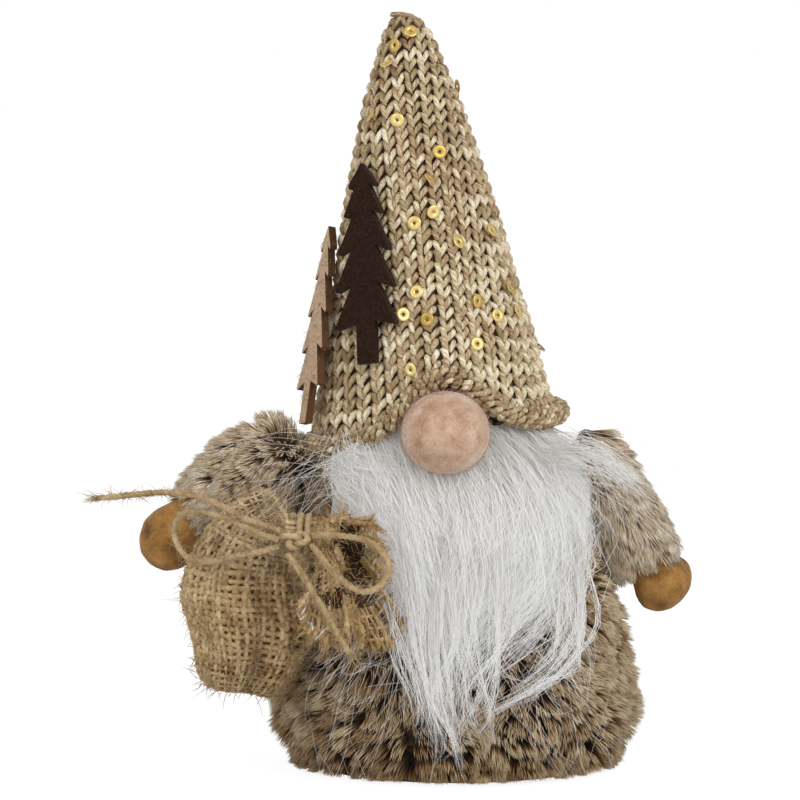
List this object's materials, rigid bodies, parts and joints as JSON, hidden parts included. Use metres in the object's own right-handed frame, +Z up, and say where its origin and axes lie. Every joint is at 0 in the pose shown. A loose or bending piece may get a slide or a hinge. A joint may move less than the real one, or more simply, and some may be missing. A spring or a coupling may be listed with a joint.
{
  "type": "felt gnome ornament",
  "caption": "Standing gnome ornament with a tall knitted hat, ball nose, long beard, fur body and a tied burlap sack hung from one sleeve.",
  "frame": {"origin": "middle of the flat base, on the surface it stands on", "axes": "+Z up to the hat's tip, front with the nose towards -Y, the sack towards -X"},
  "size_m": [0.1565, 0.1045, 0.2],
  "materials": {
    "base_felt": "matte felt",
    "card": "plain grey-brown card",
    "ballast_cotton": "plain cotton bag, filled",
    "hem_fur": "short brown pile combed down",
    "body_fur": "long brown pile with pale tips",
    "fibre_stuffing": "white fibre",
    "nose_felt": "fuzzy felt ball",
    "knit_yarn": "stockinette with a shiny cream strand",
    "dark_felt": "stiff pressed felt, cut to shape",
    "light_felt": "stiff pressed felt, scorched cut edges",
    "clear_glue": "hot glue",
    "beard_weave": "woven backing",
    "beard_fur": "long white pile",
    "sleeve_fur": "brown pile with pale tips",
    "mitt_suede": "napped ochre suede",
    "burlap": "coarse plain weave jute",
    "jute_twine": "twisted jute",
    "gold_sequin": "gold foil ring"
  },
  "bodies": {
    "figure": {"ballast_bag": "ballast_cotton", "base_board": "card", "base_cloth": "base_felt", "beard_backing": "beard_weave", "beard_pile": "beard_fur", "body_fur": "body_fur", "body_stuffing": "fibre_stuffing", "hat_knit": "knit_yarn", "hat_stuffing": "fibre_stuffing", "hem_band": "hem_fur", "nose_ball": "nose_felt", "sequin_01": "gold_sequin", "sequin_02": "gold_sequin", "sequin_03": "gold_sequin", "sequin_04": "gold_sequin", "sequin_05": "gold_sequin", "sequin_06": "gold_sequin", "sequin_07": "gold_sequin", "sequin_08": "gold_sequin", "sequin_09": "gold_sequin", "sequin_10": "gold_sequin", "sequin_11": "gold_sequin", "sequin_12": "gold_sequin", "sequin_13": "gold_sequin", "sequin_14": "gold_sequin", "sequin_15": "gold_sequin", "sequin_16": "gold_sequin", "sequin_17": "gold_sequin", "sequin_18": "gold_sequin", "sequin_19": "gold_sequin", "sequin_20": "gold_sequin", "sequin_21": "gold_sequin", "sequin_22": "gold_sequin", "sequin_23": "gold_sequin", "sequin_24": "gold_sequin", "sequin_25": "gold_sequin", "sequin_26": "gold_sequin", "sequin_27": "gold_sequin", "sequin_28": "gold_sequin", "tree_dark": "dark_felt", "tree_dark_glue": "clear_glue", "tree_light": "light_felt", "tree_light_glue": "clear_glue"},
    "sack_arm": {"sack_arm_sleeve": "sleeve_fur", "sack_arm_stuffing": "fibre_stuffing", "sack_mitt": "mitt_suede", "sack_cloth": "burlap", "sack_frill": "burlap", "sack_stuffing": "fibre_stuffing", "sack_glue": "clear_glue", "neck_tie": "jute_twine", "bow_knot": "jute_twine", "bow_loop_outer": "jute_twine", "bow_loop_inner": "jute_twine", "bow_tail_long": "jute_twine", "bow_tail_short": "jute_twine"},
    "free_arm": {"free_arm_sleeve": "sleeve_fur", "free_arm_stuffing": "fibre_stuffing", "free_mitt": "mitt_suede"}
  },
  "joints": [
    {"name": "sack_arm_swing", "type": "hinge", "parent": "figure", "child": "sack_arm", "pos_m": [-0.04687, -0.001, 0.0774], "axis": [-1, 0, 0], "range_deg": [0, 35]},
    {"name": "free_arm_lift", "type": "hinge", "parent": "figure", "child": "free_arm", "pos_m": [0.03784, -0.004, 0.082], "axis": [0, -1, 0], "range_deg": [0, 60]}
  ]
}
